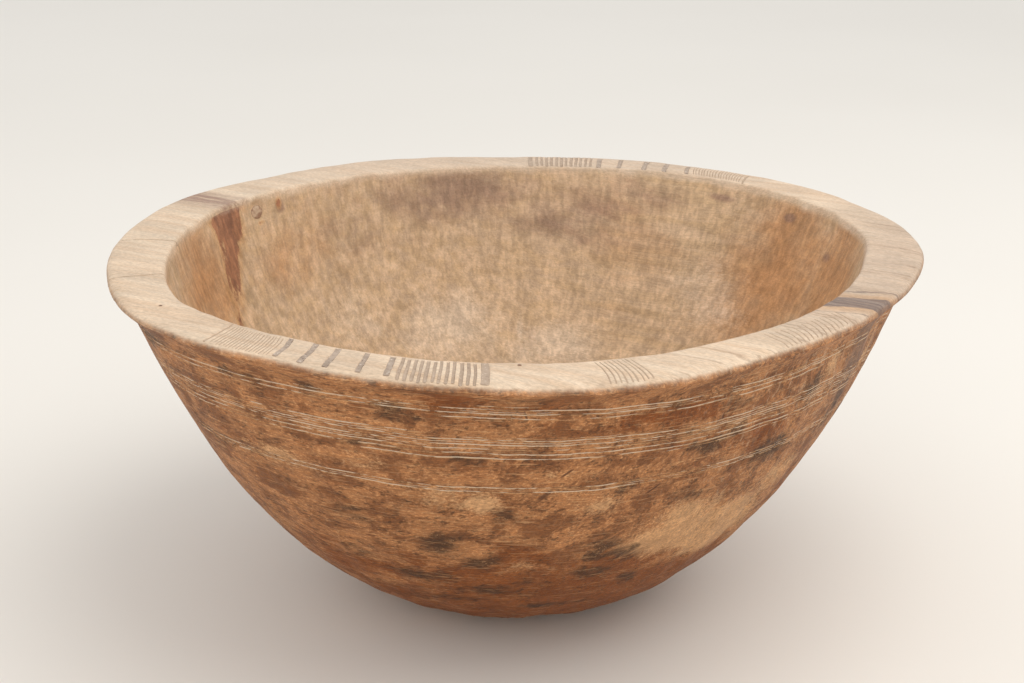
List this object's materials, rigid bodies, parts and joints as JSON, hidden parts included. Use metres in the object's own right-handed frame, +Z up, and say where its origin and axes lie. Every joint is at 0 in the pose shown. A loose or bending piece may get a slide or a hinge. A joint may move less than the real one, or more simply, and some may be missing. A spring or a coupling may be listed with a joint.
{
  "type": "carved wooden bowl",
  "caption": "Hand-carved round wooden bowl with a wide flat rim, notched bands across the rim and incised lines round its outside.",
  "frame": {"origin": "middle of the flat foot, on the surface that the bowl stands on", "axes": "+Z up through the middle of the bowl, -Y towards the front with the main band of notches"},
  "size_m": [0.42, 0.4198, 0.187],
  "materials": {
    "carved_wood": "dry hand-worn wood, tan on the rim and brown outside",
    "knot_wood": "dry dead knot wood",
    "grey_fill": "matt grey dust and pigment pressed into cuts",
    "pale_residue": "matt chalky residue in incised lines"
  },
  "bodies": {
    "root": {"bowl_body": "carved_wood", "dead_knot": "knot_wood", "rim_pin_knots": "knot_wood", "front_comb_fill": "grey_fill", "front_bar_fill": "grey_fill", "front_fan_fill": "grey_fill", "back_comb_fill": "grey_fill", "back_bar_fill": "grey_fill", "back_fan_fill": "grey_fill", "small_group_fill": "grey_fill", "side_fan_fill": "grey_fill", "lip_line_fill_1": "pale_residue", "lip_line_fill_2": "pale_residue", "band_line_fill_1": "pale_residue", "band_line_fill_2": "pale_residue", "band_line_fill_3": "pale_residue", "band_line_fill_4": "pale_residue", "band_line_fill_5": "pale_residue", "belly_line_fill_1": "pale_residue", "belly_line_fill_2": "pale_residue"}
  },
  "joints": []
}
